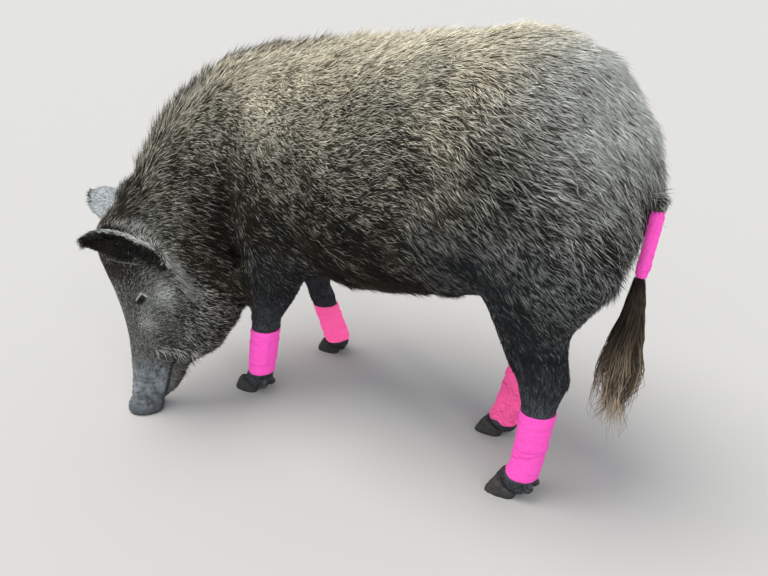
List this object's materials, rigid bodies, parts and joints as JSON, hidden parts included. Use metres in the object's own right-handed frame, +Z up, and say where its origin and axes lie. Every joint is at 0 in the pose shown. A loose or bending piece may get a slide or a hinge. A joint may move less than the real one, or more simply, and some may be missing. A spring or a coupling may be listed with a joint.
{
  "type": "pig",
  "caption": "Wild-type pig standing with its head turned and its snout on the floor, stretch wraps round its lower legs and tail: a still life-size model.",
  "frame": {"origin": "middle of the bounding box's base, on the floor", "axes": "+X to the pig's left, -Y its front, +Z up"},
  "size_m": [0.6252, 1.1168, 0.8036],
  "materials": {
    "coat": "coarse dark bristles with pale tips over dark skin, matt",
    "snout": "bare moist grey skin, satin",
    "eye": "dark brown, wet gloss",
    "horn": "dusty dark hoof horn",
    "wrap": "crinkled stretch wrap, bright pink, matt",
    "switch": "long coarse tail hair"
  },
  "bodies": {
    "root": {"trunk": "coat", "neck": "coat", "head": "coat", "lower_jaw": "coat", "foreleg_left": "coat", "foreleg_right": "coat", "hindleg_left": "coat", "hindleg_right": "coat", "ear_left": "coat", "ear_right": "coat", "snout": "snout", "eye_left": "eye", "eye_right": "eye", "tail": "coat", "tail_switch": "switch", "wrap_tail": "wrap", "forefoot_left": "coat", "hoof_forefoot_left_left": "horn", "hoof_forefoot_left_right": "horn", "forefoot_right": "coat", "hoof_forefoot_right_left": "horn", "hoof_forefoot_right_right": "horn", "hindfoot_left": "coat", "hoof_hindfoot_left_left": "horn", "hoof_hindfoot_left_right": "horn", "hindfoot_right": "coat", "hoof_hindfoot_right_left": "horn", "hoof_hindfoot_right_right": "horn", "dewclaw_forefoot_left_left": "horn", "dewclaw_forefoot_left_right": "horn", "dewclaw_hindfoot_left_left": "horn", "dewclaw_hindfoot_left_right": "horn", "wrap_foreleg_left": "wrap", "wrap_foreleg_right": "wrap", "wrap_hindleg_left": "wrap", "wrap_hindleg_right": "wrap"}
  },
  "joints": []
}
